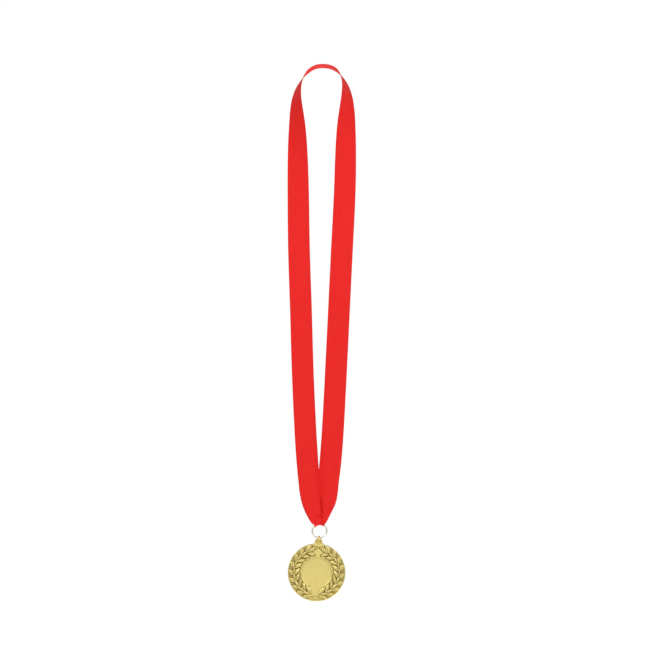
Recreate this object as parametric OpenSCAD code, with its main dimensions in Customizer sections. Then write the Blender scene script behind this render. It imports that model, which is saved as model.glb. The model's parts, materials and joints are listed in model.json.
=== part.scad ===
// Award medal on a neck ribbon, hanging from the top of its loop.
// Millimetres, +Z up, +X to the wearer's left, the medal's face towards -Y.
// The origin lies on the underside of the loop's arch, straight above the eye.

/* [Ribbon] */
// Width of the woven ribbon
ribbon_w = 19; // [15:0.5:24]
// Thickness of the woven ribbon
ribbon_t = 0.45; // [0.3:0.05:0.6]
// Drop from the top of the loop to the middle of the ring's top wire
ribbon_drop = 397.5; // [320:0.5:480]
// Clear width between the two legs at the widest part of the loop
loop_gap = 24.8; // [20:0.2:60]
// Height of the round arch at the top of the loop
arch_h = 32; // [22:1:48]
// Height over which each leg gathers as it comes down to the ring
gather_h = 16; // [10:1:24]
// Height of the two sewn ends that come up behind the ring
tail_h = 9; // [8:0.5:14]

/* [Ring] */
// Outside diameter of the jump ring
ring_d = 13.7; // [11:0.1:18]
// Diameter of the ring's wire
wire_d = 1; // [0.8:0.1:1.2]
// Clearance between the wire and the eye that hangs on it
wire_gap = 0.15; // [0.1:0.05:0.2]
// Clearance between the wire and the ribbon's fold
fold_gap = 0.45; // [0.3:0.05:0.6]
// Width of the butt joint where the ring was bent shut
ring_joint = 0.12; // [0.05:0.01:0.3]

/* [Medal] */
// Diameter of the medal
medal_d = 50; // [40:1:70]
// Thickness over the wreath and the back rim
medal_t = 3; // [2.6:0.1:5]
// Diameter of the plain centre, where an emblem is stuck on
emblem_d = 25; // [20:0.5:26]
// Depth of the centre below the field round it
emblem_depth = 0.4; // [0.2:0.1:0.6]
// Height of the wreath's leaves above the field
leaf_h = 0.6; // [0.3:0.1:0.8]
// Number of leaf groups on each branch of the wreath
leaf_groups = 8; // [5:1:9]
// Width of the plain rim round the back
back_rim = 1.5; // [1:0.25:3]
// Depth of the back's field below its rim
back_depth = 0.3; // [0.1:0.1:0.6]

/* [Eye] */
// Diameter of the hole through the cast eye
eye_hole_d = 2.6; // [2:0.1:3.4]
// Wall of metal round the hole
eye_wall = 1.2; // [0.8:0.1:1.6]
// Thickness of the eye along its hole
eye_t = 2; // [1.4:0.1:2.6]
// Distance from the medal's edge to the middle of the hole
eye_reach = 4.45; // [3.8:0.05:6]
// Width of the pointed foot that carries the eye
foot_w = 9; // [6:0.5:12]
// Lean of the hanging ring and medal, top towards +X
hang_lean = 4; // [0:0.5:5]

/* [Stitching] */
// Length of the bar of stitches across the gathered ribbon
tack_l = 6.4; // [4:0.2:8]
// Height of the bar of stitches
tack_h = 1.5; // [1:0.1:2.5]
// Thickness of the thread where it stands on the ribbon
thread_t = 0.15; // [0.1:0.05:0.3]

/* [Hidden] */
$fn = 96;

wire_r = wire_d / 2;
ring_r = ring_d / 2 - wire_r;             // radius of the wire's middle line
eye_hole_r = eye_hole_d / 2;
medal_r = medal_d / 2;
ring_pivot = [2 * ring_r * sin(hang_lean), 0, -ribbon_drop];
eye_pivot = ring_pivot - 2 * ring_r * [sin(hang_lean), 0, cos(hang_lean)];
// the eye hangs with the top of its hole on the wire
hang = medal_r + eye_reach + eye_hole_r - wire_r - wire_gap;

layer_gap = 0.05;                         // air between two layers of ribbon
fold_left = 0.8 * ring_r;                 // reach of the fold to each side
fold_right = 0.56 * ring_r;               // of the ring's top
fold_w = fold_left + fold_right;
front_h = 7;                              // height of the fold's front wall
fold_lap = 1;                             // how far the wall comes below the
                                          // wire before it has the fold's width
tack_x = -1;                              // middle of the bar of stitches
tack_z = -ribbon_drop + front_h - 1;
// share of a leg's height where the legs begin to lie in layers, and the share
// over which they come to
layer_from = 0.6;
layer_over = 0.26;
// heights above the ring between which a leg turns to face straight forward
level_from = 60;
level_to = 20;
// where the twist out of the arch starts on each side, its length and its power
twist_from = [4, 2];
twist_len = [58, 49];
twist_power = 1.2;

// Clear distance from the load line to a leg's inner edge, down the leg:
// [share of the leg's height, share of the loop's clear width]
gaps = [
  [[0, 0.413], [0.065, 0.382], [0.21, 0.347], [0.35, 0.319], [0.49, 0.252],
   [0.64, 0.187], [0.78, 0.094], [0.85, 0.03], [0.87, 0.01], [0.895, -0.004],
   [0.95, -0.026], [0.975, -0.061], [1, -0.095]],
  [[0, 0.604], [0.065, 0.571], [0.21, 0.52], [0.35, 0.419], [0.64, 0.21],
   [0.78, 0.1], [0.85, 0.024], [0.875, -0.008], [0.905, -0.034],
   [0.95, -0.042], [0.978, -0.112], [1, -0.115]]
];
// the arch's middle and its half span follow from where the legs begin
arch_x = loop_gap * (gaps[1][0][1] - gaps[0][0][1]) / 2;
arch_a = (loop_gap * (gaps[1][0][1] + gaps[0][0][1]) + ribbon_w) / 2;
// roundness of the arch on each side, where 2 is an ellipse
arch_n = [2.05, 2.5];

function smooth(x) = let (c = min(1, max(0, x))) c * c * (3 - 2 * c);
function mix(a, b, k) = a + (b - a) * k;
function unit(v) = v / norm(v);

// Smooth curve through a list of [place, value]
function slope(k, i) =
  let (a = max(0, i - 1), b = min(len(k) - 1, i + 1))
  i == 0 ? 0 : (k[b][1] - k[a][1]) / (k[b][0] - k[a][0]);
function segment(k, s, i = 0) =
  i >= len(k) - 2 || s <= k[i + 1][0] ? i : segment(k, s, i + 1);
function along(k, s) =
  let (i = segment(k, s), h = k[i + 1][0] - k[i][0], t = (s - k[i][0]) / h)
  k[i][1] * (1 + 2 * t) * (1 - t) * (1 - t)
  + k[i + 1][1] * t * t * (3 - 2 * t)
  + h * slope(k, i) * t * (1 - t) * (1 - t)
  - h * slope(k, i + 1) * t * t * (1 - t);

// Width of a leg at a height above the ring's top wire
function leg_w(v) =
  ribbon_w - (ribbon_w - fold_w) * exp(-max(0, v) / gather_h);

// Middle of a leg, side 0 on -X and 1 on +X, at a share of its height
leg_h = ribbon_drop - arch_h;
function leg_z(s) = -arch_h - s * leg_h;
function leg_x(side, s) =
  let (w = leg_w(leg_z(s) + ribbon_drop))
  (2 * side - 1) * (loop_gap * along(gaps[side], s) + w / 2);
// the legs meet face to face at the bottom, the one on -X in front
function layer_y(side) = -layer_gap - ribbon_t / 2
  - (1 - side) * (ribbon_t + layer_gap);
function leg_mid(side, s) =
  [leg_x(side, s), layer_y(side) * smooth((s - layer_from) / layer_over), leg_z(s)];

// Middle of the arch at an angle from 0 at -X to 180 at +X
function arch_side(a) = a < 90 ? 0 : 1;
function arch_rise(a) =
  pow(max(0, sin(a)), 2 / arch_n[arch_side(a)]);
function arch_run(a) =
  pow(abs(cos(a)), 2 / arch_n[arch_side(a)]) * (a < 90 ? -1 : 1);
// the arch's height puts its underside at the origin, which is a little to the
// left of its top
arch_rise_h = (arch_h + ribbon_t / 2)
  / pow(1 - pow(arch_x / arch_a, arch_n[0]), 1 / arch_n[0]);
function arch_mid(a) =
  [arch_x + arch_a * arch_run(a), 0, -arch_h + arch_rise_h * arch_rise(a)];

// Angle of the ribbon from edge on, in the arch, to face on, in the legs
function twist(side, z) =
  90 * exp(-pow(max(0, -z - twist_from[side]) / twist_len[side], twist_power));

// One row of points across the ribbon, outer face then inner face
across = 6;
function row(mid, wide, face, w) =
  concat(
    [for (i = [0 : across])
      mid + wide * w * (i / across - 0.5) + face * ribbon_t / 2],
    [for (i = [across : -1 : 0])
      mid + wide * w * (i / across - 0.5) - face * ribbon_t / 2]);

// A row on a leg or the arch, from its middle and the way it runs
function free_row(mid, run, side, w) =
  let (inward = unit([run[2], 0, -run[0]]),
       v = mid[2] + ribbon_drop,
       level = smooth((level_from - v) / (level_from - level_to)),
       flat = unit(mix(inward, [1 - 2 * side, 0, 0], level)),
       phi = twist(side, mid[2]))
  row(mid, flat * cos(phi) - [0, sin(phi), 0],
      -flat * sin(phi) - [0, cos(phi), 0], w);

leg_steps = 36;
function leg_share(i) =
  let (end = 1 - front_h / leg_h)
  end * i / leg_steps;
function leg_row(side, i) =
  let (s = leg_share(i), near = 0.002, up = side == 0 ? -1 : 1)
  free_row(leg_mid(side, s),
           up * (leg_mid(side, s + near) - leg_mid(side, s - near)),
           side, leg_w(leg_z(s) + ribbon_drop));
arch_steps = 28;
function arch_row(i) =
  let (a = 180 * i / arch_steps, b = max(0.5, a - 1), c = min(179.5, a + 1))
  free_row(arch_mid(a), arch_mid(c) - arch_mid(b), arch_side(a), ribbon_w);

// The fold round the ring's top wire. It stands off the wire's arc all along,
// so that the ring can swing. The layer from -X lies outside the other one.
function arc_reach(x) =
  let (d = min(fold_left, abs(x - ring_pivot[0])),
       rise = sqrt(ring_r * ring_r - d * d))
  ring_r - rise + wire_r * ring_r / rise;
function fold_r(side, x) =
  arc_reach(x) + fold_gap + ribbon_t / 2
  + (1 - side) * (ribbon_t + layer_gap);
function fold_x(side, u, w, v) =
  mix(leg_x(side, 1 - max(0, v) / leg_h) + (1 - 2 * side) * u * w,
      ring_pivot[0] + (fold_right - fold_left) / 2
      + (1 - 2 * side) * u * fold_w,
      1 - smooth((v + fold_lap) / (2.5 * fold_lap)));
// angle 0 is the front, 90 is under the wire and 180 is the back
function fold_point(side, u, angle, v, out) =
  let (x = fold_x(side, u, leg_w(v), angle > 0 ? -fold_lap : v),
       far = angle > 90 ? tail_h : front_h,
       r = mix(fold_r(side, x), -layer_y(side), smooth(v / far)) + out)
  [x, -r * cos(angle), -ribbon_drop - r * sin(angle) + v];
function fold_row(side, angle, v) =
  concat(
    [for (i = [0 : across])
      fold_point(side, i / across - 0.5, angle, v, ribbon_t / 2)],
    [for (i = [across : -1 : 0])
      fold_point(side, i / across - 0.5, angle, v, -ribbon_t / 2)]);
wall_steps = 6;
arc_steps = 12;
function fold_rows(side) = concat(
  [for (i = [wall_steps - 1 : -1 : 1])
    fold_row(side, 0, front_h * i / wall_steps)],
  [for (i = [0 : arc_steps]) fold_row(side, 180 * i / arc_steps, 0)],
  [for (i = [1 : wall_steps])
    fold_row(side, 180, (tail_h - (1 - side)) * i / wall_steps)]);

function backwards(list) = [for (i = [len(list) - 1 : -1 : 0]) list[i]];

// Closed skin over a run of rows
module skin(rows) {
  n = len(rows[0]);
  last = (len(rows) - 1) * n;
  polyhedron(
    points = [for (r = rows) each r],
    faces = concat(
      [for (i = [0 : n / 2 - 2])
        each [[i + 1, i, n - 1 - i], [i + 1, n - 1 - i, n - 2 - i]]],
      [for (j = [0 : n : last - n], i = [0 : n - 1])
        each [[j + i, j + (i + 1) % n, j + n + i],
              [j + (i + 1) % n, j + n + (i + 1) % n, j + n + i]]],
      [for (i = [0 : n / 2 - 2])
        each [[last + i, last + i + 1, last + n - 1 - i],
              [last + i + 1, last + n - 2 - i, last + n - 1 - i]]]),
    convexity = 10);
}

// One strip: up from behind the ring, round the loop and back behind it
module ribbon() {
  color("crimson")
    skin(concat(
      backwards(fold_rows(0)),
      [for (i = [leg_steps : -1 : 1]) leg_row(0, i)],
      [for (i = [0 : arch_steps]) arch_row(i)],
      [for (i = [1 : leg_steps]) leg_row(1, i)],
      fold_rows(1)));
}

// Bar of stitches through the legs in front and the ends behind
module stitching() {
  depth = 2 * (2 * ribbon_t + 2 * layer_gap + thread_t);
  color("firebrick")
    translate([tack_x - tack_l / 2, -depth / 2, tack_z - tack_h / 2])
      cube([tack_l, depth, tack_h]);
}

// Round wire, bent shut with its butt joint inside the ribbon's fold
module jump_ring() {
  color("khaki")
    translate(ring_pivot) rotate([0, hang_lean, 0]) translate([0, 0, -ring_r])
      difference() {
        rotate([90, 0, 0]) rotate_extrude() translate([ring_r, 0])
          circle(r = wire_r, $fn = 32);
        translate([-ring_joint / 2, -wire_d, ring_r - wire_d])
          cube([ring_joint, 2 * wire_d, 2 * wire_d]);
      }
}

// Pointed leaf of given length and width, standing on the field
module leaf(length, width) {
  r = (length * length + width * width) / (4 * width);
  translate([0, 0, field_h - leaf_root]) intersection() {
    translate([0, r - width / 2, 0]) cylinder(r = r, h = leaf_h + leaf_root);
    translate([0, width / 2 - r, 0]) cylinder(r = r, h = leaf_h + leaf_root);
  }
}
field_h = medal_t / 2 - leaf_h;           // the front field, from mid thickness
leaf_root = 0.2;                          // how deep a leaf is set in the field
wreath_in = emblem_d / 2 + 2.2;           // the wreath's inner
wreath_out = medal_r - 0.5;               // and outer radius
wreath_mid = (wreath_in + wreath_out) / 2;
first_leaf = 16;                          // angles from the bottom, up a branch
last_leaf = 158;
leaf_turn = [28, 30];                     // from the stem's way, outward and inward
leaf_off = 0.28;                          // from the stem, as a share of the band
inner_leaf = 0.9;                         // length of an inner leaf to an outer one
leaf_slim = 0.3;                          // width of a leaf to its length
stem_w = 0.5;
stem_lead = 6;                            // angle of stem below the first leaf

// One branch: a stem along an arc, with a pair of leaves at each step, as long
// as the step
module branch() {
  band = wreath_out - wreath_in;
  step = (last_leaf - first_leaf) / (leaf_groups - 1);
  leaf_l = step * PI / 180 * wreath_mid;
  for (i = [0 : leaf_groups - 1])
    rotate([0, 0, first_leaf + i * step - 90]) {
      translate([wreath_mid + leaf_off * band, 0, 0])
        rotate([0, 0, 90 - leaf_turn[0]]) leaf(leaf_l, leaf_slim * leaf_l);
      translate([wreath_mid - leaf_off * band, 0, 0])
        rotate([0, 0, 90 + leaf_turn[1]])
          leaf(inner_leaf * leaf_l, leaf_slim * leaf_l);
    }
  rotate([0, 0, first_leaf - stem_lead - 90])
    rotate_extrude(angle = last_leaf - first_leaf + stem_lead)
      translate([wreath_mid - stem_w / 2, field_h - leaf_root])
        square([stem_w, leaf_root + leaf_h / 2]);
}

// Casting: disc with a sunk centre, a wreath, a rimmed back and an eye on top
module medal() {
  edge = 0.3;
  half = medal_t / 2;
  color("goldenrod")
    translate(eye_pivot) rotate([0, hang_lean, 0]) translate([0, 0, -hang])
      difference() {
        union() {
          rotate([90, 0, 0]) {
            rotate_extrude() polygon([
              [0, -half + back_depth],
              [medal_r - back_rim - edge, -half + back_depth],
              [medal_r - back_rim, -half],
              [medal_r - edge, -half],
              [medal_r, -half + edge],
              [medal_r, field_h - edge],
              [medal_r - edge, field_h],
              [emblem_d / 2 + emblem_depth, field_h],
              [emblem_d / 2, field_h - emblem_depth],
              [0, field_h - emblem_depth]
            ]);
            branch();
            mirror([1, 0, 0]) branch();
          }
          eye_foot();
          translate([-eye_t / 2, 0, medal_r + eye_reach])
            rotate([0, 90, 0])
              cylinder(r = eye_hole_r + eye_wall, h = eye_t);
        }
        translate([-foot_w / 2, 0, medal_r + eye_reach]) rotate([0, 90, 0])
          cylinder(r = eye_hole_r, h = foot_w);
      }
}

// Pointed foot between the disc and the eye, two arcs meeting under the hole
module eye_foot() {
  root = 2;                               // how deep the foot is set in the disc
  rise = eye_reach + root;
  r = (rise * rise + foot_w * foot_w / 4) / foot_w;
  foot_t = 2 * field_h;
  translate([0, field_h, medal_r - root]) rotate([90, 0, 0])
    intersection() {
      translate([foot_w / 2 - r, 0, 0]) cylinder(r = r, h = foot_t);
      translate([r - foot_w / 2, 0, 0]) cylinder(r = r, h = foot_t);
      translate([-foot_w / 2, 0, 0]) cube([foot_w, rise, foot_t]);
    }
}

medal();
jump_ring();
ribbon();
stitching();
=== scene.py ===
import json
import math

import bpy
import numpy as np
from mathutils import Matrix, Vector


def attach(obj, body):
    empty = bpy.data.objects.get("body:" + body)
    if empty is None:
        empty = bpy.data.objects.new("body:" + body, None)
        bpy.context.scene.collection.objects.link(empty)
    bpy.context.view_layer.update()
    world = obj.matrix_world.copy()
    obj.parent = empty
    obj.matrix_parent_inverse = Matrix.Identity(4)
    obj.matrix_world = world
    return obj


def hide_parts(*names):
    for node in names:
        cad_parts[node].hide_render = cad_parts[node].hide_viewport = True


# Award medal on a red neck ribbon. Shapes are worked out in millimetres and
# written to the meshes in metres.
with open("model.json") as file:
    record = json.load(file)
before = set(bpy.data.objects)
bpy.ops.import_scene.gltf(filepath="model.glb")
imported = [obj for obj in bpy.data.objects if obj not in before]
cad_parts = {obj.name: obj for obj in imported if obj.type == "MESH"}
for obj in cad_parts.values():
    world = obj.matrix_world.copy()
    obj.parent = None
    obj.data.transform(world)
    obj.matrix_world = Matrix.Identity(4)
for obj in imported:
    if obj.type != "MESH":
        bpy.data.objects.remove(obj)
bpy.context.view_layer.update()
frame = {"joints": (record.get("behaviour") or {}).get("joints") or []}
mm = 0.001

hinges = {j["name"]: j for j in frame["joints"]}
ringTop = np.array(hinges["ring_swing"]["pos_m"]) / mm      # middle of the top wire
eyeWire = np.array(hinges["medal_swing"]["pos_m"]) / mm     # wire inside the eye
ringRadius = np.linalg.norm(ringTop - eyeWire) / 2
downward = (eyeWire - ringTop) / (2 * ringRadius)           # from the ring to the medal
rightward = np.array([-downward[2], 0, downward[0]])


def smooth(x):  # 0 below 0, 1 above 1, with level ends
    c = np.clip(x, 0, 1)
    return c * c * (3 - 2 * c)


# rises from 0 to 1 after one place and falls back to 0 before another
def between(x, start, rise, stop, fade):
    return smooth((x - start) / rise) * smooth((stop - x) / fade)


def mix(a, b, k):
    return a + (b - a) * k


def unit(v):
    return v / np.linalg.norm(v, axis=-1, keepdims=True)


# mesh object from points in mm and a list of face arrays, smooth shaded: uv is
# one pair per point, and values is {attribute: one number per point}
def makeObject(name, points, faces, uv=None, values=None):
    mesh = bpy.data.meshes.new(name)
    mesh.from_pydata((points * mm).tolist(), [], [f for a in faces for f in a.tolist()])
    mesh.polygons.foreach_set("use_smooth", np.ones(len(mesh.polygons), bool))
    if uv is not None:
        corner = np.zeros(len(mesh.loops), int)
        mesh.loops.foreach_get("vertex_index", corner)
        layer = mesh.uv_layers.new(name="lay")
        layer.data.foreach_set("uv", uv[corner].astype(np.float32).ravel())
    for key, value in (values or {}).items():
        mesh.attributes.new(key, "FLOAT", "POINT").data.foreach_set("value", value)
    mesh.update()
    thing = bpy.data.objects.new(name, mesh)
    bpy.context.scene.collection.objects.link(thing)
    return thing


def gridFaces(rows, cols, start=0, wrapRows=False, wrapCols=False):
    # quads of a grid of points, facing row direction x column direction
    i = np.arange(rows if wrapRows else rows - 1)[:, None]
    j = np.arange(cols if wrapCols else cols - 1)[None, :]
    a = i * cols + j
    b = (i + 1) % rows * cols + j
    c = (i + 1) % rows * cols + (j + 1) % cols
    d = i * cols + (j + 1) % cols
    return np.stack([a, b, c, d], -1).reshape(-1, 4) + start


# level camera, at the middle of the hanging length
view = {"distance": 1250.0, "across": 565.5, "aimX": 5.2, "aimZ": -224.9, "sensor": 36.0}
camera = bpy.data.objects.new("camera", bpy.data.cameras.new("camera"))
bpy.context.scene.collection.objects.link(camera)
camera.location = Vector((view["aimX"], -view["distance"], view["aimZ"])) * mm
camera.rotation_euler = (math.radians(90), 0, 0)
camera.data.sensor_width = view["sensor"]
camera.data.lens = view["sensor"] * view["distance"] / view["across"]
camera.data.clip_end = 20
bpy.context.scene.camera = camera
print("camera set")

ribbonShape = {
    "width": 19.0,          # of the woven strip
    "thick": 0.4,
    "loopGap": 24.8,        # clear width between the legs at their widest
    "archHeight": 32.0,
    "archHalfThick": 0.225,
    "gatherHeight": 16.0,   # over which a leg gathers towards the ring
    "frontHeight": 7.0,     # of the fold's front wall
    "tailHeight": 9.0,      # of the sewn ends behind the ring
    "tailStep": 1.0,        # by which the outer end is shorter
    "taper": 0.6,           # how far down the wall narrows to the fold's width
    "layer": 0.5,           # from one layer to the next where they lie together
    "firstLayer": 0.275,    # from the middle plane to the first layer
    "wireClear": 0.2,       # between the ring's wire and the fold
    "wire": 0.5,            # radius of the ring's wire
    "valley": 2.4,          # depth of the soft crease where the legs meet
    "valleyWide": 3.2,
    "groove": 1.9,          # of the right leg beside the left one's edge
    "pleat": 0.34,          # depth of the pleats above the ring
    "roll": 0.6,            # radius of the edges that roll back above the ring
    "rollMost": 3.0,        # angle through which they turn, in radians
    "wave": 0.35,           # of the hanging legs, fore and aft
    "lapFrom": 0.6,         # share of a leg's height at which it starts to come forward
    "lapOver": 0.26,
    "levelBelow": 60.0,     # height over the ring under which the strip turns level
    "levelOver": 40.0,
    "rollAbove": 1.5,       # height over the ring at which the edges start to roll
    "rollOver": 11.0,
    "beadHigh": 0.12,       # thickening of the woven edge, as a share
    "beadAt": 0.55,         # its distance from the edge
    "beadWide": 0.35,
    "edgeRound": 0.16,      # width over which the edge is rounded off
}
# soft shapes of the strip. A span is start, rise, stop and fade, up from the ring
softShape = {
    "creaseAt": 0.4,
    "creaseSpan": (8, 22, 112, 60),
    "grooveAway": 0.9,      # from the left leg's edge
    "grooveWide": 1.1,
    "grooveSpan": (3, 4, 27, 9),
    "fanFoot": 5.0,         # half width of the fan of pleats at the ring
    "fanGrow": 13.5,        # by which it widens
    "fanHeight": 13.0,
    # turns across the fan, phase and share of each wave of pleats
    "pleatWaves": ((5.2, 0.5, 1.0), (11.5, -0.8, 0.55), (21.0, 0.0, 0.3)),
    "pleatFade": 21.0,
    "waveLength": 23.0,
    "waveSpan": (60, 60, 330, 60),
}
archRound = {-1: 2.05, 1: 2.5}           # 2 is an ellipse, more is squarer
twistFrom = {-1: 4.0, 1: 2.0}
twistLength = {-1: 58.0, 1: 49.0}
twistPower = 1.2
# clear distance from the load line to a leg's inner edge, down the leg, as
# shares of the leg's height and of the loop's clear width
legGaps = {
    -1: ((0, 0.413), (0.065, 0.382), (0.21, 0.347), (0.35, 0.319), (0.49, 0.252),
         (0.64, 0.187), (0.78, 0.094), (0.85, 0.03), (0.87, 0.01), (0.895, -0.004),
         (0.95, -0.026), (0.975, -0.061), (1, -0.095)),
    1: ((0, 0.604), (0.065, 0.571), (0.21, 0.52), (0.35, 0.419), (0.64, 0.21),
        (0.78, 0.1), (0.85, 0.024), (0.875, -0.008), (0.905, -0.034),
        (0.95, -0.042), (0.978, -0.112), (1, -0.115)),
}
foldLeft = 0.75 * ringRadius
foldRight = 0.56 * ringRadius
foldWidth = foldLeft + foldRight
foldMiddle = ringTop[0] + (foldRight - foldLeft) / 2
legHeight = -ringTop[2] - ribbonShape["archHeight"]


def along(knots, s):
    # smooth curve through (place, value) knots: cubic between each two of them,
    # with the slope at a knot taken from its neighbours
    k = np.array(knots, float)
    slope = np.gradient(k[:, 1])
    slope[1:-1] = (k[2:, 1] - k[:-2, 1]) / (k[2:, 0] - k[:-2, 0])
    slope[0] = 0
    slope[-1] = (k[-1, 1] - k[-2, 1]) / (k[-1, 0] - k[-2, 0])
    i = np.clip(np.searchsorted(k[:, 0], s, side="right") - 1, 0, len(k) - 2)
    h = k[i + 1, 0] - k[i, 0]
    t = (s - k[i, 0]) / h
    return (k[i, 1] * (1 + 2 * t) * (1 - t) ** 2 + k[i + 1, 1] * t * t * (3 - 2 * t)
            + h * slope[i] * t * (1 - t) ** 2 - h * slope[i + 1] * t * t * (1 - t))


def shownWidth(v):
    # width of a leg at height v above the ring, narrowing towards the fold
    width = ribbonShape["width"]
    return width - (width - foldWidth) * np.exp(-np.maximum(v, 0) / ribbonShape["gatherHeight"])


def foldRadius(side, x):
    # the fold stands off the arc of the wire: drop of the arc at x, plus the
    # wire's half height there, the clearance and the layers inside this one
    d = np.minimum(foldLeft, np.abs(x - ringTop[0]))
    rise = np.sqrt(ringRadius ** 2 - d ** 2)
    inner = ringRadius - rise + ribbonShape["wire"] * ringRadius / rise + ribbonShape["wireClear"]
    return inner + ribbonShape["thick"] / 2 + (ribbonShape["layer"] if side < 0 else 0)


def layerDepth(side):
    return ribbonShape["firstLayer"] + (ribbonShape["layer"] if side < 0 else 0)


def legMiddle(side, v):
    # x, y and z of a leg's middle at heights v above the ring's top wire
    share = 1 - v / legHeight
    x = side * (ribbonShape["loopGap"] * along(legGaps[side], share) + shownWidth(v) / 2)
    y = -layerDepth(side) * smooth((share - ribbonShape["lapFrom"])
                                     / ribbonShape["lapOver"])
    return np.stack([x, y, v + ringTop[2]], -1)


# half of a rounded square on each side, |x/a|^n + |z/b|^n = 1, that starts from
# the tops of the legs and has its underside at the origin
def archMiddle(angle):
    gap = {side: legGaps[side][0][1] * ribbonShape["loopGap"] for side in (-1, 1)}
    middle = (gap[1] - gap[-1]) / 2
    a = (gap[1] + gap[-1] + ribbonShape["width"]) / 2
    b = ribbonShape["archHeight"]
    rise = (b + ribbonShape["archHalfThick"]) \
        / (1 - (middle / a) ** archRound[-1]) ** (1 / archRound[-1])
    power = 2 / np.where(angle > math.pi / 2, archRound[1], archRound[-1])
    x = middle - a * np.sign(np.cos(angle)) * np.abs(np.cos(angle)) ** power
    z = -b + rise * np.maximum(np.sin(angle), 0) ** power
    return np.stack([x, 0 * x, z], -1)


# the strip from its middle line: across, it runs flat from the inner edge, then
# its heading turns back through an angle over a small roll, and the rest returns
# behind. It is edge on in the arch and turns to face forward down the legs.
def freeStretch(middle, side, width, t, angle, extra):
    run = np.gradient(middle, axis=0)
    inward = unit(np.stack([run[:, 2], 0 * run[:, 0], -run[:, 0]], -1))
    v = middle[:, 2] - ringTop[2]
    level = smooth((ribbonShape["levelBelow"] - v) / ribbonShape["levelOver"])[:, None]
    flat = unit(mix(inward, np.stack([-side, 0 * v, 0 * v], -1), level))
    start = np.where(side < 0, twistFrom[-1], twistFrom[1])
    length = np.where(side < 0, twistLength[-1], twistLength[1])
    phi = np.pi / 2 * np.exp(-(np.maximum(-middle[:, 2] - start, 0) / length) ** twistPower)
    back = np.array([0, 1.0, 0])
    wide = flat * np.cos(phi)[:, None] - back * np.sin(phi)[:, None]
    face = -flat * np.sin(phi)[:, None] - back * np.cos(phi)[:, None]
    roll = ribbonShape["roll"]
    place = t[None, :] * (width + extra)[:, None]
    turn = angle[:, None] * smooth((place - (width - roll)[:, None])
                                   / np.maximum(angle * roll, 0.001)[:, None])
    step = np.diff(place, axis=1)
    mid = (turn[:, 1:] + turn[:, :-1]) / 2
    zero = np.zeros((len(v), 1))
    a = np.concatenate([zero, np.cumsum(np.cos(mid) * step, 1)], 1)[..., None]
    b = np.concatenate([zero, np.cumsum(np.sin(mid) * step, 1)], 1)[..., None]
    edge = middle + wide * (width / 2)[:, None]
    return edge[:, None, :] - wide[:, None, :] * a - face[:, None, :] * b, place


def thicken(surface, half):
    # ring of points round each row: the outer face, then back along the inner one
    normal = unit(np.cross(np.gradient(surface, axis=0), np.gradient(surface, axis=1)))
    upper = surface + normal * half[..., None]
    lower = surface - normal * half[..., None]
    return np.concatenate([upper, lower[:, ::-1]], 1)


# soft shapes fore and aft that both legs share, by x and the height up from the
# ring: the crease where they meet, pleats that fan out of the fold, slow waves
def softDepth(x, up, side):
    shape, soft = ribbonShape, softShape
    crease = np.exp(-((x - soft["creaseAt"]) / shape["valleyWide"]) ** 2) \
        * between(up, *soft["creaseSpan"])
    edge = -shape["loopGap"] * along(legGaps[-1], 1 - np.clip(up, 0, 60) / legHeight)
    groove = np.exp(-((x - edge - soft["grooveAway"]) / soft["grooveWide"]) ** 2) \
        * between(up, *soft["grooveSpan"]) * (side > 0)
    fan = (x - foldMiddle) / (soft["fanFoot"]
                              + soft["fanGrow"] * (1 - np.exp(-up / soft["fanHeight"])))
    pleats = sum(k * np.cos(n * fan + p) for n, p, k in soft["pleatWaves"]) \
        * np.exp(-(up / soft["pleatFade"]) ** 2) * smooth((up - 0.5) / 5)
    waves = np.sin(up / soft["waveLength"] + side) * between(up, *soft["waveSpan"])
    return (shape["valley"] * crease + shape["groove"] * groove
            + shape["pleat"] * pleats + shape["wave"] * waves)


def foldWrap(way, t):
    # under the wire and up behind it, from the end of the front wall: a half
    # turn at the fold's radius, then a straight end that closes in as it rises
    x = foldMiddle - way * (0.5 - t)[None, :] * foldWidth
    r = foldRadius(way, x)
    turn = np.linspace(0, math.pi, 40)[1:, None]
    legX = legMiddle(way, np.zeros(1))[0, 0] - way * (0.5 - t)[None, :] * shownWidth(np.zeros(1))
    k = smooth(r * np.sin(turn) / ribbonShape["taper"] + 8 * (turn > math.pi / 2))
    x, r = mix(legX, x, k), mix(foldRadius(way, legX), r, k)
    under = np.stack([x + 0 * turn, -r * np.cos(turn), ringTop[2] - r * np.sin(turn)], -1)
    tail = ribbonShape["tailHeight"] - (ribbonShape["tailStep"] if way < 0 else 0)
    climb = np.linspace(0, tail, 14)[1:, None]
    x, r = x[-1:], r[-1:]
    y = mix(r, layerDepth(way), smooth(climb / tail))
    return np.concatenate([under, np.stack([x + 0 * climb, y, ringTop[2] + climb + 0 * x], -1)])


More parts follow.
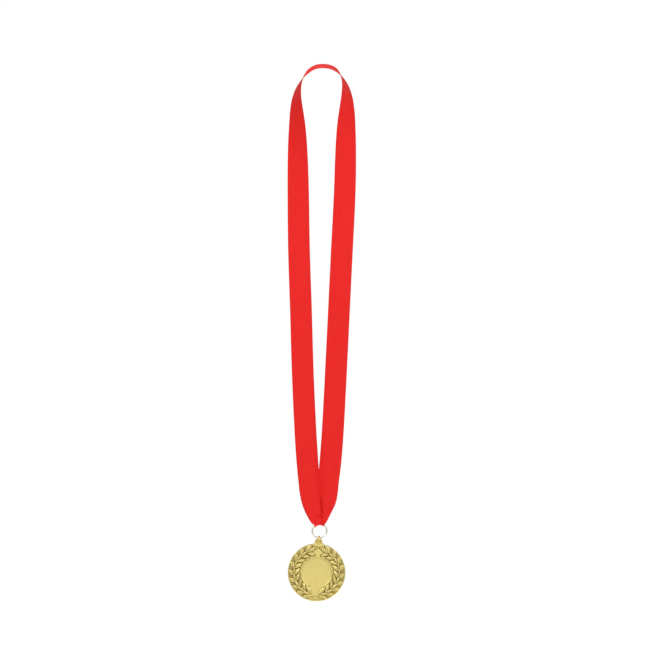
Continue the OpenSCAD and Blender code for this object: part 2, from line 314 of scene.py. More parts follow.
def buildRibbon():
    shape = ribbonShape
    cols = 36
    e = np.array([0, 0.06, 0.16, 0.34, 0.6, 0.95, 1.4]) / shape["width"]
    t = np.concatenate([e, np.linspace(0.1, 0.9, cols - 2 * len(e)), 1 - e[::-1]])

    v = np.concatenate([np.linspace(0, 60, 100), np.linspace(60, legHeight, 150)[1:]])
    archAngle = np.linspace(0, math.pi, 90)[1:-1]
    middle = np.concatenate([legMiddle(-1, v), archMiddle(archAngle), legMiddle(1, v)[::-1]])
    side = np.concatenate([-np.ones(len(v)), np.where(archAngle > math.pi / 2, 1, -1),
                           np.ones(len(v))])
    height = middle[:, 2] - ringTop[2]
    onLeg = np.concatenate([np.ones(len(v)), 0 * archAngle, np.ones(len(v))])
    width = np.where(onLeg > 0, shownWidth(height), shape["width"])
    spare = (shape["width"] - width) * smooth((height - shape["rollAbove"])
                                                / shape["rollOver"])
    angle = np.minimum(shape["rollMost"], spare / shape["roll"])
    surface, place = freeStretch(middle, side, width, t, angle, spare)
    surface[..., 1] += softDepth(surface[..., 0], height[:, None], side[:, None]) * onLeg[:, None]
    for way in (-1, 1):
        wall = (side == way) & (height < shape["frontHeight"]) & (onLeg > 0)
        apart = 1 - smooth(height[wall] / shape["frontHeight"])[:, None]
        surface[wall, :, 1] -= (foldRadius(way, surface[wall, :, 0]) - layerDepth(way)) * apart

    leftWrap, rightWrap = foldWrap(-1, t)[::-1], foldWrap(1, t)
    surface = np.concatenate([leftWrap, surface, rightWrap])
    place = np.concatenate([t * foldWidth + np.zeros((len(leftWrap), 1)), place,
                            t * foldWidth + np.zeros((len(rightWrap), 1))])
    stride = np.linalg.norm(np.diff(surface[:, cols // 2], axis=0), axis=1)
    length = np.concatenate([[0], np.cumsum(stride)])

    # firm woven edges: a little thicker, then rounded off
    fromEdge = np.minimum(t, 1 - t) * shape["width"]
    bead = np.exp(-((fromEdge - shape["beadAt"]) / shape["beadWide"]) ** 2)
    profile = (1 + shape["beadHigh"] * bead) * np.sqrt(
        np.clip(fromEdge / shape["edgeRound"], 0.15, 1))
    half = np.ones((len(surface), 1)) * profile * shape["thick"] / 2
    rings = thicken(surface, half)
    rows, around = rings.shape[:2]
    faces = [gridFaces(rows, around, wrapCols=True)]
    j = np.arange(cols - 1)
    for base, order in ((0, (0, 1, 2, 3)), ((rows - 1) * around, (3, 2, 1, 0))):
        cap = np.stack([j, j + 1, around - 2 - j, around - 1 - j], -1)[:, order]
        faces.append(cap + base)
    lay = np.stack([place, length[:, None] + 0 * place], -1) / 10      # centimetres
    lay = np.concatenate([lay, lay[:, ::-1]], 1)
    print(f"ribbon: {length[-1]:.1f} mm long, {rows} rows")
    return makeObject("ribbonStrip", rings.reshape(-1, 3), faces,
                      uv=lay.reshape(-1, 2)), length[-1]


ribbon, ribbonLength = buildRibbon()


def tube(path, radius, sides):
    # rings of a round tube along an open path, on frames carried along it
    run = unit(np.gradient(path, axis=0))
    side = unit(np.cross(run, np.array([0.03, 1.0, 0.02])))
    other = np.cross(run, side)
    turn = np.linspace(0, 2 * math.pi, sides, endpoint=False)
    r = np.broadcast_to(radius, len(path))[:, None, None]
    return path[:, None] + r * (side[:, None] * np.cos(turn)[None, :, None]
                                + other[:, None] * np.sin(turn)[None, :, None])


def closedTube(name, rings, uv=None):
    # skin over a run of rings, closed by a point in the middle of each end
    rows, around = rings.shape[:2]
    ends = np.stack([rings[0].mean(0), rings[-1].mean(0)])
    points = np.concatenate([rings.reshape(-1, 3), ends])
    j = np.arange(around)
    k = (j + 1) % around
    last = (rows - 1) * around
    first = np.stack([j, k, 0 * j + rows * around], -1)
    final = np.stack([last + k, last + j, 0 * j + rows * around + 1], -1)
    return makeObject(name, points, [gridFaces(rows, around, wrapCols=True), first, final], uv=uv)


# bar of stitches through the fold, in front and behind
stitchShape = {"length": 6.4, "height": 1.5, "from": -4.2, "above": 6.0, "thread": 0.11,
               "turns": 15, "dive": 0.16}


# a close zigzag across the front, then back across the rear: the height swings
# as a triangle wave along the bar, and the thread dives in at each turn
def buildStitches():
    n = stitchShape["turns"] * 12
    s = np.linspace(0, 1, n)
    swing = np.arcsin(np.sin(2 * math.pi * stitchShape["turns"] * s)) * 2 / math.pi
    x = stitchShape["from"] + stitchShape["length"] * s
    up = stitchShape["above"] + stitchShape["height"] / 2 * swing
    outer = ribbonShape["thick"] / 2
    apart = 1 - smooth(up / ribbonShape["frontHeight"])
    front = softDepth(x, up, -1) - layerDepth(-1) - outer \
        - (foldRadius(-1, x) - layerDepth(-1)) * apart
    tail = ribbonShape["tailHeight"] - ribbonShape["tailStep"]
    rear = mix(foldRadius(-1, x), layerDepth(-1), smooth(up / tail)) + outer
    dive = stitchShape["dive"] * np.abs(swing) ** 6
    z = ringTop[2] + up
    path = np.concatenate([np.stack([x, front + dive, z], -1),
                           np.stack([x, rear - dive, z], -1)[::-1]])
    return closedTube("tackThread", tube(path, stitchShape["thread"], 8))


stitches = buildStitches()
print("stitches made")

ringShape = {"wire": 0.5, "jointGap": 0.12, "round": 0.12}


def buildRing():
    # a round wire on a circle, open by a hair at the top, its ends eased
    middle = ringTop + downward * ringRadius
    half = math.pi - ringShape["jointGap"] / 2 / ringRadius
    ease = ringShape["round"] / ringRadius
    turn = np.concatenate([-half + ease * np.array([0, 0.15, 0.5, 1]),
                           np.linspace(-half + 2 * ease, half - 2 * ease, 240),
                           half - ease * np.array([1, 0.5, 0.15, 0])])
    path = middle + ringRadius * (np.cos(turn)[:, None] * downward
                                  + np.sin(turn)[:, None] * rightward)
    fromEnd = (half - np.abs(turn)) / ease
    radius = ringShape["wire"] - ringShape["round"] * (
        1 - np.sqrt(np.clip(1 - (1 - np.clip(fromEnd, 0, 1)) ** 2, 0, 1)))
    return closedTube("ringWire", tube(path, radius, 28))


ring = buildRing()
print("ring made")

medalShape = {
    "radius": 25.0,
    "half": 1.5,            # half of the thickness over the back rim
    "floor": 0.45,          # the sunk centre, above mid thickness
    "field": 0.9,           # the field round it
    "ground": 0.74,         # the field between the leaves
    "centre": 12.1,         # radius of the plain centre
    "bevel": 1.8,           # width of the slope up to the field
    "dish": 0.36,           # hollow of the centre
    "wreathFrom": 13.9,
    "wreathTo": 24.7,
    "edge": 0.3,            # rounding of the outer edge
    "backRim": 1.5,
    "backDepth": 0.3,
    "sunkFrom": 15.5,       # radius at which the ground starts to sink
    "sunkOver": 2.0,
    "sunkArc": (9, 9, 168, 8),      # degrees from the bottom: start, rise, stop, fade
}
# painted shade in the clefts and on the low ground between the leaves
cleftShape = {
    "reach": 5,             # grid cells each way over which the mean height is taken
    "least": 0.008,         # depth under the mean at which a cleft starts
    "full": 0.115,          # depth over which it grows to full
    "ground": 0.46,         # darkening of the low ground
    "raised": 0.34,         # by which that lessens as the relief rises
    "raisedOver": 0.25,
    "footShare": 0.4,       # share of the darkening that stays at the bottom
    "footTo": 7,            # degrees from the bottom
    "footOver": 10,
}
wreathShape = {
    "stem": 19.4,           # radius that the stems follow
    "groups": 9,
    "first": 9.0,           # degrees from the bottom, up a branch
    "last": 150.0,
    "outerTip": 25.4,       # radius that the outer leaves aim for
    "halfWidth": 1.62,
    "outerWide": 1.22,      # width of the outer leaves, as a share
    "outerLift": 0.35,
    "outerFoot": 0.5,       # outside the stem
    "outerTurn": 30,        # degrees that they turn out, at the ends of a branch
    "outerMore": 9,         # and by how many more in its middle
    # inner and middle leaf of a group: degrees past it, place outside the stem,
    # degrees turned in, length, width as a share, and rise towards the tip
    "leaves": ((1, -0.4, 44, 8.5, 1.0, 0.42), (4, 0.1, 4, 7.0, 0.78, 0.6)),
    "sizeFirst": 1.04,      # of the leaves at the bottom
    "sizeLoss": 0.16,       # by the top
    "berry": (12.5, 4.2, 0.38),     # degrees past the group, outside the stem, radius
    # last leaf: degrees past the branch, outside the stem, degrees turned in,
    # length, half width and rise
    "endLeaf": (6, 1.6, 4, 8.4, 1.45, 0.4),
    "stemHalf": 0.42,
    "stemHigh": 0.5,
    "crossing": 20,         # degrees over which the stems bend out to the tie
    "knot": (1.3, 0.75, 0.7),       # half width, half height and relief of the bow
    "height": 0.66,
    "tie": 22.0,            # radius at which the stems cross
}
leafShape = {
    "widest": 0.86,         # power on the place along it: under 1, widest before its middle
    "blunt": 0.85,          # power on its outline
    "flank": 1.7,           # powers of its rounded back
    "crown": 0.75,
    "foot": 0.75,           # height at its foot, as a share of the wreath's
    "midrib": 0.13,         # depth of the groove along it
    "midribWide": 0.16,
    "veins": 0.012,
    "veinPitch": 7,
    "veinSlant": 1.1,
}
eyeShape = {
    "reach": 4.45,          # from the medal's edge to the middle of the hole
    "hole": 1.3,            # radius of the hole
    "wall": 1.2,
    "clear": 0.15,          # over the ring's wire
    "foot": 4.5,            # half width of the pointed foot
    "footTop": 4.9,         # height above the edge at which its outline would close
    "footRound": 1.12,      # 2 is an ellipse, less is straighter
    "thick": 0.9,           # half thickness of the foot
    "tip": 0.85,            # half width of the eye at its top
}
hang = medalShape["radius"] + eyeShape["reach"] + eyeShape["hole"] - ringShape["wire"] \
    - eyeShape["clear"]
medalMiddle = eyeWire + downward * hang


def toMedal(local):
    # from the medal's own right, forward and up to the hanging frame
    forward = np.array([0, -1.0, 0])
    return (medalMiddle + local[..., 0:1] * rightward + local[..., 1:2] * forward
            - local[..., 2:3] * downward)


# height of one leaf over its ground: inside an outline that is widest a little
# before its middle and pointed at both ends, a round back with a groove along
# its midrib and faint slanting veins, rising towards the tip
def leaf(x, z, base, heading, length, width, lift):
    run = (x - base[0]) * math.cos(heading) + (z - base[1]) * math.sin(heading)
    off = -(x - base[0]) * math.sin(heading) + (z - base[1]) * math.cos(heading)
    s = np.clip(run / length, 0, 1)
    form = leafShape
    wide = width * (np.sin(math.pi * s ** form["widest"]) ** form["blunt"] + 1e-6)
    c = np.abs(off) / wide
    back = np.clip(1 - c ** form["flank"], 0, 1) ** form["crown"] * ((run > 0) & (run < length))
    groove = form["midrib"] * np.exp(-(off / form["midribWide"]) ** 2) \
        * smooth(s * 6) * smooth((1 - s) * 4)
    veins = form["veins"] * np.cos((run - form["veinSlant"] * np.abs(off)) * form["veinPitch"]) \
        * smooth(c * 3) * smooth((1 - c) * 4)
    return back * (wreathShape["height"] * (form["foot"] + lift * s) - groove + veins)


def berry(x, z, place, radius):
    # half a ball, flattened
    d = np.hypot(x - place[0], z - place[1]) / radius
    return 0.8 * radius * np.sqrt(np.clip(1 - d * d, 0, 1))


def onCircle(degrees, radius):
    a = math.radians(degrees)
    return np.array([math.sin(a), -math.cos(a)]) * radius


# height of the wreath over the ground: each branch is a stem along an arc with a
# group of leaves at each step, one turned out to the rim, one turned in and one
# along the stem, and the two stems cross under a small bow
def wreath(x, z):
    w = wreathShape
    x = np.abs(x)
    radius = np.hypot(x, z)
    angle = np.degrees(np.arctan2(x, -z))
    high = np.zeros_like(x)
    for i, a in enumerate(np.linspace(w["first"], w["last"], w["groups"])):
        upward = math.radians(a)                      # heading of the branch there
        share = i / (w["groups"] - 1)
        size = w["sizeFirst"] - w["sizeLoss"] * share
        out = math.radians(w["outerTurn"] + w["outerMore"] * math.sin(math.pi * share))
        start = w["stem"] + w["outerFoot"]
        reach = math.sqrt(w["outerTip"] ** 2 - (start * math.cos(out)) ** 2) \
            - start * math.sin(out)
        high = np.maximum(high, leaf(x, z, onCircle(a, start), upward - out, reach,
                                     w["halfWidth"] * w["outerWide"], w["outerLift"]))
        for ahead, off, turned, length, narrow, lift in w["leaves"]:
            high = np.maximum(high, leaf(x, z, onCircle(a + ahead, w["stem"] + off),
                                         upward + math.radians(turned), length * size,
                                         narrow * w["halfWidth"] * size, lift))
        ahead, off, ball = w["berry"]
        high = np.maximum(high, berry(x, z, onCircle(a + ahead, w["stem"] + off), ball))
    ahead, off, turned, length, half, lift = w["endLeaf"]
    end = w["last"] + ahead
    high = np.maximum(high, leaf(x, z, onCircle(end, w["stem"] + off),
                                 math.radians(end + turned), length, half, lift))
    # the stem bends out to the tie over its last degrees
    stemAt = w["stem"] + (w["tie"] - w["stem"]) \
        * np.clip((w["crossing"] - angle) / w["crossing"], 0, 1) ** 2
    off = np.abs(radius - stemAt) / w["stemHalf"]
    high = np.maximum(high, w["stemHigh"] * np.sqrt(np.clip(1 - off * off, 0, 1))
                      * (angle < w["last"]))
    knotWide, knotTall, knotHigh = w["knot"]
    knot = np.hypot(x / knotWide, (z + w["tie"]) / knotTall)
    high = np.maximum(high, knotHigh * np.sqrt(np.clip(1 - knot ** 2, 0, 1)))
    # and ends in a short tail beyond it
    return np.maximum(high, leaf(x, z, np.array([0.3, -w["tie"]]), math.radians(-20), 3.8,
                                 0.6, 0.3))


def spread(values, reach):
    # mean over a square of grid cells, wrapping round the disc
    for axis in (0, 1):
        values = sum(np.roll(values, k, axis) for k in range(-reach, reach + 1)) \
            / (2 * reach + 1)
    return values


# disc as a surface of turning: rings of points by radius, out over the face,
# round the edge and in over the back, with the wreath's height added to the face
def buildDisc():
    m = medalShape
    cols = 720
    outer, half, edge = m["radius"], m["half"], m["edge"]
    flat = np.array([1.5, 3.5, 6, 8.5, 10.5, 11.5, m["centre"]])
    slope = np.linspace(m["centre"], m["centre"] + m["bevel"], 9)[1:]
    field = np.linspace(slope[-1], m["wreathFrom"], 4)[1:]
    band = np.arange(m["wreathFrom"], m["wreathTo"], 0.15)[1:]
    r = np.concatenate([flat, slope, field, band])
    h = mix(m["floor"], m["field"], smooth((r - m["centre"]) / m["bevel"]))
    h = h - m["dish"] * np.clip(1 - (r / m["centre"]) ** 2, 0, 1)
    turn = np.linspace(0, 2 * math.pi, cols, endpoint=False)
    x = r[:, None] * np.sin(turn)
    z = -r[:, None] * np.cos(turn)
    inBand = between(r, m["wreathFrom"] - 0.4, 0.8, m["wreathTo"], 0.3)[:, None]
    relief = wreath(x, z) * inBand
    # the ground sinks between the leaves and stays level in the gap at the top
    angle = np.degrees(np.arctan2(np.abs(x), -z))
    sunk = smooth((r - m["sunkFrom"]) / m["sunkOver"])[:, None] \
        * between(angle, *m["sunkArc"]) * inBand
    ground = h[:, None] - (m["field"] - m["ground"]) * sunk
    height = ground + relief
    face = np.stack([x, height, z], -1)
    # painted shade in the narrow clefts between leaves, where the mean height
    # about a point stands well over the point
    dark = cleftShape
    cleft = smooth((spread(relief, dark["reach"]) - relief - dark["least"]) / dark["full"]) * inBand
    # and painted shade on the sunken ground, less where the relief rises
    low = dark["ground"] - dark["raised"] * smooth(relief / dark["raisedOver"])
    cleft = np.maximum(cleft, low * sunk)
    # fainter towards the bottom of the disc
    cleft = cleft * mix(dark["footShare"], 1, smooth((angle - dark["footTo"]) / dark["footOver"]))

    # edge and back, as radius and height
    bend = np.linspace(0, math.pi / 2, 6)
    rim = [(outer - edge + edge * math.sin(b), m["field"] - edge + edge * math.cos(b))
           for b in bend]
    side = [(outer, 0.2), (outer, -0.5)]
    under = [(outer - edge + edge * math.cos(b), edge - half - edge * math.sin(b)) for b in bend]
    lip = outer - m["backRim"]
    back = m["backDepth"] - half
    well = [(lip + 0.1, -half), (lip, -half + 0.03), (lip - 0.25, back - 0.03), (lip - 0.35, back)]
    inward = [(a, back) for a in (22, 18, 13, 8, 4, 1.5)]
    rest = np.array(rim + side + under + well + inward)
    turned = np.stack([rest[:, 0:1] * np.sin(turn), rest[:, 1:2] + 0 * turn,
                       -rest[:, 0:1] * np.cos(turn)], -1)
    grid = np.concatenate([face, turned])
    rows = len(grid)
    poles = np.array([[0, h[0], 0], [0, back, 0]])
    points = toMedal(np.concatenate([grid.reshape(-1, 3), poles]))
    j = np.arange(cols)
    k = (j + 1) % cols
    last = (rows - 1) * cols
    front = np.stack([0 * j + rows * cols, j, k], -1)
    rear = np.stack([0 * j + rows * cols + 1, last + k, last + j], -1)
    plain = np.zeros(turned.shape[0] * cols + 2)
    disc = makeObject("medalDisc", points, [gridFaces(rows, cols, wrapCols=True), front, rear],
                      values={"cleft": np.concatenate([cleft.ravel(), plain]),
                              "relief": np.concatenate([np.clip(relief, 0, 1).ravel(), plain])})
    print(f"disc: {len(disc.data.polygons)} faces")
    return disc


disc = buildDisc()


def roundedSquare(turn, power):
    # cosine and sine raised to a power below 1, which squares a circle off
    c, s = np.cos(turn), np.sin(turn)
    return np.sign(c) * np.abs(c) ** power, np.sign(s) * np.abs(s) ** power


# half width of the foot and the eye, by height above the medal's middle: it
# falls as w * (1 - u^n)^(1/2) and ends in the eye's round tip
def footWidth(z):
    e = eyeShape
    u = np.clip((z - medalShape["radius"] + 1) / (e["footTop"] + 1), 0, 1)
    return np.maximum(e["foot"] * np.sqrt(1 - u ** e["footRound"]), e["tip"])


# the cast eye: a ring about the medal's left-to-right line whose width follows
# the foot's outline, on the pointed foot, a plate with a drop raised between ribs
def buildEye():
    m, e = medalShape, eyeShape
    middle = m["radius"] + e["reach"]
    a = np.linspace(0, 2 * math.pi, 80, endpoint=False)[:, None]
    c, s = roundedSquare(np.linspace(0, 2 * math.pi, 32, endpoint=False)[None, :], 0.8)
    radial = e["hole"] + e["wall"] / 2 * (1 + c)
    z = middle + radial * np.cos(a)
    crown = np.sqrt(np.clip(1 - ((z - middle) / (e["hole"] + e["wall"] + 0.25)) ** 2, 0, 1))
    wide = np.where(z > middle, np.minimum(footWidth(z), 0.35 + 0.9 * crown), footWidth(z))
    loop = np.stack([wide * s, radial * np.sin(a), z], -1)

    low, high = m["radius"] - 2.2, middle - e["hole"] - 0.1
    z = np.linspace(low, high, 60)[:, None]
    n = 120
    c, s = roundedSquare(np.linspace(0, 2 * math.pi, n, endpoint=False)[None, :], 0.5)
    wide = footWidth(z)
    x = wide * c
    front = np.clip(s, 0, 1) ** 2
    rise = (z - m["radius"] - 1.5) / 2.1
    drop = np.sqrt(np.clip(1 - (x / (1.05 - 0.45 * np.clip(rise, -1, 1))) ** 2 - rise ** 2, 0, 1))
    rib = np.exp(-((np.abs(c) - 0.8) / 0.12) ** 2)
    y = e["thick"] * s + front * (0.5 * drop + 0.28 * rib - 0.12)
    foot = np.stack([x, y, z + 0 * x], -1)
    ends = np.array([[0, 0, low], [0, 0, high]])
    points = toMedal(np.concatenate([loop.reshape(-1, 3), foot.reshape(-1, 3), ends]))
    start = loop.shape[0] * loop.shape[1]
    stop = start + len(foot) * n
    j = np.arange(n)
    k = (j + 1) % n
    top = stop - n
    base = np.stack([start + j, start + k, 0 * j + stop], -1)
    cap = np.stack([top + k, top + j, 0 * j + stop + 1], -1)
    # painted shade in the valleys beside the raised drop and the ribs
    valley = front * np.clip(1 - 2.5 * drop - 1.5 * rib, 0, 1) * smooth((z - m["radius"]) / 1.2)
    ones = np.ones(start)
    eye = makeObject("medalEye", points, [
        gridFaces(loop.shape[0], loop.shape[1], wrapRows=True, wrapCols=True),
        gridFaces(len(foot), n, start=start, wrapCols=True), base, cap],
        values={"cleft": np.concatenate([0 * ones, 0.35 * valley.ravel(), [0, 0]]),
                "relief": np.concatenate([0.5 * ones, (front * (drop + rib)).ravel(), [0, 0]])})
    print("eye made")
    return eye


eye = buildEye()


def turnOutward(thing):
    # flips a closed mesh whose faces point inwards, told by its signed volume
    mesh = thing.data
    mesh.calc_loop_triangles()
    co = np.zeros(len(mesh.vertices) * 3)
    mesh.vertices.foreach_get("co", co)
    tri = np.zeros(len(mesh.loop_triangles) * 3, int)
    mesh.loop_triangles.foreach_get("vertices", tri)
    p = co.reshape(-1, 3)[tri.reshape(-1, 3)]
    volume = np.einsum("ij,ij->i", p[:, 0], np.cross(p[:, 1], p[:, 2])).sum() / 6
    print(f"{thing.name}: volume {volume * 1e9:.1f} mm3")
    if volume < 0:
        mesh.flip_normals()


for thing in (ribbon, stitches, ring, disc, eye):
    turnOutward(thing)


def newMaterial(name):
    material = bpy.data.materials.new(name)
    material.use_nodes = True
    nodes, links = material.node_tree.nodes, material.node_tree.links
    return material, nodes, links, nodes["Principled BSDF"]


def add(nodes, kind, **settings):
    node = nodes.new(kind)
    for key, value in settings.items():
        setattr(node, key, value)
    return node


def sums(nodes, links, operation, a, b):
    # one step of arithmetic, where a and b are numbers or sockets
    node = add(nodes, "ShaderNodeMath", operation=operation)
    for socket, value in zip(node.inputs, (a, b)):
        if isinstance(value, (int, float)):
            socket.default_value = value
        else:
            links.new(value, socket)
    return node.outputs[0]


def blendColours(nodes, links, factor, a, b):
    node = add(nodes, "ShaderNodeMix", data_type="RGBA")
    for socket, value in zip((node.inputs[0], node.inputs[6], node.inputs[7]), (factor, a, b)):
        if isinstance(value, (tuple, float)):
            socket.default_value = value
        else:
            links.new(value, socket)
    return node.outputs[2]


def addNoise(nodes, links, place, scale, detail):
    noise = add(nodes, "ShaderNodeTexNoise")
    noise.inputs["Scale"].default_value = scale
    noise.inputs["Detail"].default_value = detail
    links.new(place, noise.inputs[0])
    return noise.outputs[0]


def addBump(nodes, links, shader, height, strength, distance):
    bump = add(nodes, "ShaderNodeBump")
    bump.inputs["Strength"].default_value = strength
    bump.inputs["Distance"].default_value = distance
    links.new(height, bump.inputs["Height"])
    links.new(bump.outputs[0], shader.inputs["Normal"])


weave = {
    "red": (0.84, 0.012, 0.010, 1), "edge": (0.62, 0.006, 0.007, 1),
    "light": (0.92, 0.018, 0.014, 1),
    "ribs": 17.0,            # per centimetre, across the strip
    "warps": 34.0,           # per centimetre, along it
    "width": 1.9,            # of the strip, in centimetres
    "roughness": 0.6,
    "specular": 0.2,
    "sheen": 0.15,
    "sheenRoughness": 0.3,
    "sheenTint": (1.0, 0.6, 0.5, 1),
    # painted shade in the grooves between two ribs, as a share
    "grooveShade": 0.28,      # of the yarn between two ribs
    "fringeDark": 0.25,      # of the firm edges
}


def ribbonMaterial():
    material, nodes, links, shader = newMaterial("redWeave")
    lay = add(nodes, "ShaderNodeUVMap", uv_map="lay")
    parts = add(nodes, "ShaderNodeSeparateXYZ")
    links.new(lay.outputs[0], parts.inputs[0])
    across, length = parts.outputs[0], parts.outputs[1]
    rib = sums(nodes, links, "SINE", sums(nodes, links, "MULTIPLY", length,
                                          weave["ribs"] * 2 * math.pi), 0.0)
    warp = sums(nodes, links, "SINE", sums(nodes, links, "MULTIPLY", across,
                                           weave["warps"] * 2 * math.pi), 0.0)
    rows = sums(nodes, links, "ABSOLUTE", rib, 0.0)
    cross = sums(nodes, links, "MULTIPLY", rib, warp)
    height = sums(nodes, links, "ADD", sums(nodes, links, "MULTIPLY", rows, 0.8),
                  sums(nodes, links, "MULTIPLY", cross, 0.3))
    # uneven yarn: long streaks along the strip and soft patches
    streaks = add(nodes, "ShaderNodeMapping")
    links.new(lay.outputs[0], streaks.inputs[0])
    streaks.inputs["Scale"].default_value = (14.0, 0.5, 1.0)
    streak = addNoise(nodes, links, streaks.outputs[0], 2.0, 4.0)
    patch = addNoise(nodes, links, lay.outputs[0], 0.9, 2.0)
    tone = sums(nodes, links, "ADD", sums(nodes, links, "MULTIPLY", streak, 0.5),
                sums(nodes, links, "MULTIPLY", patch, 0.5))
    base = blendColours(nodes, links, tone, weave["red"], weave["light"])
    # painted shade in the grooves between ribs, blended towards the edge colour
    groove = sums(nodes, links, "MULTIPLY", sums(nodes, links, "SUBTRACT", 1.0, rows),
                  weave["grooveShade"])
    base = blendColours(nodes, links, groove, base, weave["edge"])
    # and along the firm edges
    middle = sums(nodes, links, "ABSOLUTE", sums(nodes, links, "SUBTRACT", across,
                                                 weave["width"] / 2), 0.0)
    fringe = add(nodes, "ShaderNodeMapRange", interpolation_type="SMOOTHSTEP")
    links.new(middle, fringe.inputs[0])
    fringe.inputs["From Min"].default_value = weave["width"] / 2 - 0.13
    fringe.inputs["From Max"].default_value = weave["width"] / 2 - 0.03
    firm = sums(nodes, links, "MULTIPLY", fringe.outputs[0], weave["fringeDark"])
    base = blendColours(nodes, links, firm, base, weave["edge"])
    links.new(base, shader.inputs["Base Color"])
    shader.inputs["Roughness"].default_value = weave["roughness"]
    shader.inputs["Specular IOR Level"].default_value = weave["specular"]
    shader.inputs["Sheen Weight"].default_value = weave["sheen"]
    shader.inputs["Sheen Roughness"].default_value = weave["sheenRoughness"]
    shader.inputs["Sheen Tint"].default_value = weave["sheenTint"]
    addBump(nodes, links, shader, height, 0.5, 0.00012)
    return material


thread = {"dark": (0.62, 0.008, 0.008, 1), "light": (0.78, 0.012, 0.011, 1)}


def threadMaterial():
    material, nodes, links, shader = newMaterial("redThread")
    place = add(nodes, "ShaderNodeTexCoord")
    twist = add(nodes, "ShaderNodeTexWave", wave_type="BANDS", bands_direction="DIAGONAL")
    twist.inputs["Scale"].default_value = 2600.0
    links.new(place.outputs["Object"], twist.inputs[0])
    colour = blendColours(nodes, links, twist.outputs["Fac"], thread["dark"], thread["light"])
    links.new(colour, shader.inputs["Base Color"])
    shader.inputs["Roughness"].default_value = 0.7
    shader.inputs["Specular IOR Level"].default_value = 0.1
    addBump(nodes, links, shader, twist.outputs["Fac"], 0.4, 0.00004)
    return material


gilt = {
    "bright": (0.86, 0.72, 0.26, 1), "warm": (0.82, 0.66, 0.22, 1),
    # colour of the painted shade in the clefts
    "cleft": (0.12, 0.075, 0.014, 1),
    "roughness": 0.36,
    "cleftDull": 0.25,      # more roughness in the clefts
    "leafShine": 0.04,      # less of it on the leaves
}


def giltMaterial():
    material, nodes, links, shader = newMaterial("giltCasting")
    place = add(nodes, "ShaderNodeTexCoord")
    cleft = add(nodes, "ShaderNodeAttribute", attribute_name="cleft")
    relief = add(nodes, "ShaderNodeAttribute", attribute_name="relief")
    cloud = addNoise(nodes, links, place.outputs["Object"], 90.0, 3.0)
    base = blendColours(nodes, links, cloud, gilt["bright"], gilt["warm"])
    # painted shade in the clefts and on the low ground, from the cleft attribute
    paintedShade = sums(nodes, links, "MULTIPLY", cleft.outputs["Fac"], 0.95)
    base = blendColours(nodes, links, paintedShade, base, gilt["cleft"])
    links.new(base, shader.inputs["Base Color"])
    shader.inputs["Metallic"].default_value = 1.0
    # satin on the flats, brighter on the leaves' backs, dull in the clefts
    grain = addNoise(nodes, links, place.outputs["Object"], 5200.0, 2.0)
    dull = sums(nodes, links, "ADD", gilt["roughness"],
                sums(nodes, links, "MULTIPLY", cleft.outputs["Fac"], gilt["cleftDull"]))
    dull = sums(nodes, links, "SUBTRACT", dull,
                sums(nodes, links, "MULTIPLY", relief.outputs["Fac"], gilt["leafShine"]))
    dull = sums(nodes, links, "ADD", dull, sums(nodes, links, "MULTIPLY", grain, 0.06))
    links.new(dull, shader.inputs["Roughness"])
    addBump(nodes, links, shader, grain, 0.05, 0.00001)
    return material


wire = {"bright": (0.82, 0.74, 0.55, 1), "warm": (0.74, 0.65, 0.46, 1), "roughness": 0.16}


def wireMaterial():
    material, nodes, links, shader = newMaterial("paleWire")
    place = add(nodes, "ShaderNodeTexCoord")
    cloud = addNoise(nodes, links, place.outputs["Object"], 700.0, 3.0)
    base = blendColours(nodes, links, cloud, wire["bright"], wire["warm"])
    links.new(base, shader.inputs["Base Color"])
    shader.inputs["Metallic"].default_value = 1.0
    uneven = sums(nodes, links, "MULTIPLY", cloud, 0.14)
    links.new(sums(nodes, links, "ADD", wire["roughness"], uneven), shader.inputs["Roughness"])
    return material


for thing, material in ((ribbon, ribbonMaterial()), (stitches, threadMaterial()),
                        (ring, wireMaterial())):
    thing.data.materials.append(material)
giltCasting = giltMaterial()
disc.data.materials.append(giltCasting)
eye.data.materials.append(giltCasting)

for thing, body, node, slotName in ((ribbon, "ribbon", "ribbon", "ribbon_weave"),
                                    (stitches, "ribbon", "stitching", "thread"),
                                    (ring, "ring", "jump_ring", "ring_wire"),
                                    (disc, "medal", "medal", "gilt")):
    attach(thing, body)
    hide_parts(node)
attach(eye, "medal")

studio = {"floorZ": -1250.0, "floorRadius": 2600.0, "floorSides": 96, "skyLight": 0.34}


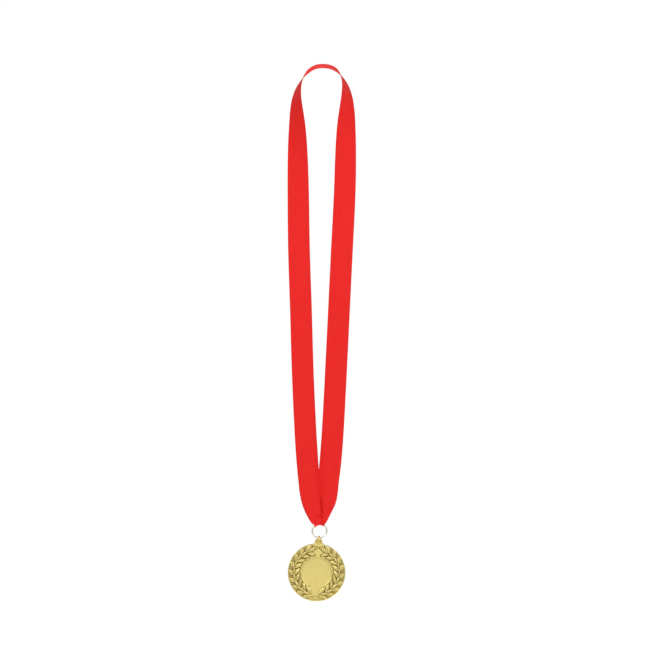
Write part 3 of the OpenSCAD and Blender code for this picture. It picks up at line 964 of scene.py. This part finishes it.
def buildFloor():
    n = studio["floorSides"]
    turn = np.linspace(0, 2 * math.pi, n, endpoint=False)
    rim = np.stack([np.cos(turn), np.sin(turn), 0 * turn], -1) * studio["floorRadius"]
    points = np.concatenate([rim, [[0, 0, 0]]]) + [0, 0, studio["floorZ"]]
    j = np.arange(n)
    floor = makeObject("studioFloor", points, [np.stack([j, (j + 1) % n, 0 * j + n], -1)])
    material, nodes, links, shader = newMaterial("paleFloor")
    shader.inputs["Base Color"].default_value = (0.9, 0.9, 0.9, 1)
    shader.inputs["Emission Color"].default_value = (1, 1, 1, 1)
    seen = add(nodes, "ShaderNodeLightPath")
    links.new(sums(nodes, links, "MULTIPLY", seen.outputs["Is Camera Ray"], 0.7),
              shader.inputs["Emission Strength"])
    shader.inputs["Roughness"].default_value = 0.8
    floor.data.materials.append(material)


buildFloor()


def softBox(name, place, aim, size, power):
    light = bpy.data.objects.new(name, bpy.data.lights.new(name, "AREA"))
    bpy.context.scene.collection.objects.link(light)
    light.data.shape = "RECTANGLE"
    light.data.size, light.data.size_y = size
    light.data.energy = power
    light.visible_camera = False
    light.location = Vector(place)
    light.rotation_euler = (Vector(aim) - Vector(place)).to_track_quat("-Z", "Y").to_euler()


# place, aim and size in metres, power in watts
lights = {
    "key": ((-1.5, -1.35, 0.5), (0, 0, -0.2), (1.2, 1.2), 14.5),
    "side": ((1.5, -1.2, 0.35), (0, 0, -0.05), (0.8, 1.2), 11),
    "card": ((0.1, -2.2, -0.75), (0, 0, -0.45), (2.4, 1.8), 8.7),
    "bounce": ((0.2, 0.45, -1.1), (0, 0, 0), (1.4, 0.6), 10),
    "top": ((0.25, -1.1, 0.8), (0, 0, 0), (1.0, 0.6), 5.5),
}
for lightName, settings in lights.items():
    softBox(lightName, *settings)
world = bpy.data.worlds.new("studio")
world.use_nodes = True
bpy.context.scene.world = world
sky = world.node_tree
backdrop = sky.nodes["Background"]
backdrop.inputs["Color"].default_value = (1, 1, 1, 1)
lit = add(sky.nodes, "ShaderNodeBackground")
lit.inputs["Color"].default_value = (1, 1, 1, 1)
lit.inputs["Strength"].default_value = studio["skyLight"]
ray = add(sky.nodes, "ShaderNodeLightPath")
pick = add(sky.nodes, "ShaderNodeMixShader")
sky.links.new(ray.outputs["Is Camera Ray"], pick.inputs[0])
sky.links.new(lit.outputs[0], pick.inputs[1])
sky.links.new(backdrop.outputs[0], pick.inputs[2])
sky.links.new(pick.outputs[0], sky.nodes["World Output"].inputs["Surface"])
bpy.context.scene.view_settings.view_transform = "Standard"
bpy.context.scene.view_settings.look = "None"
print("scene ready")
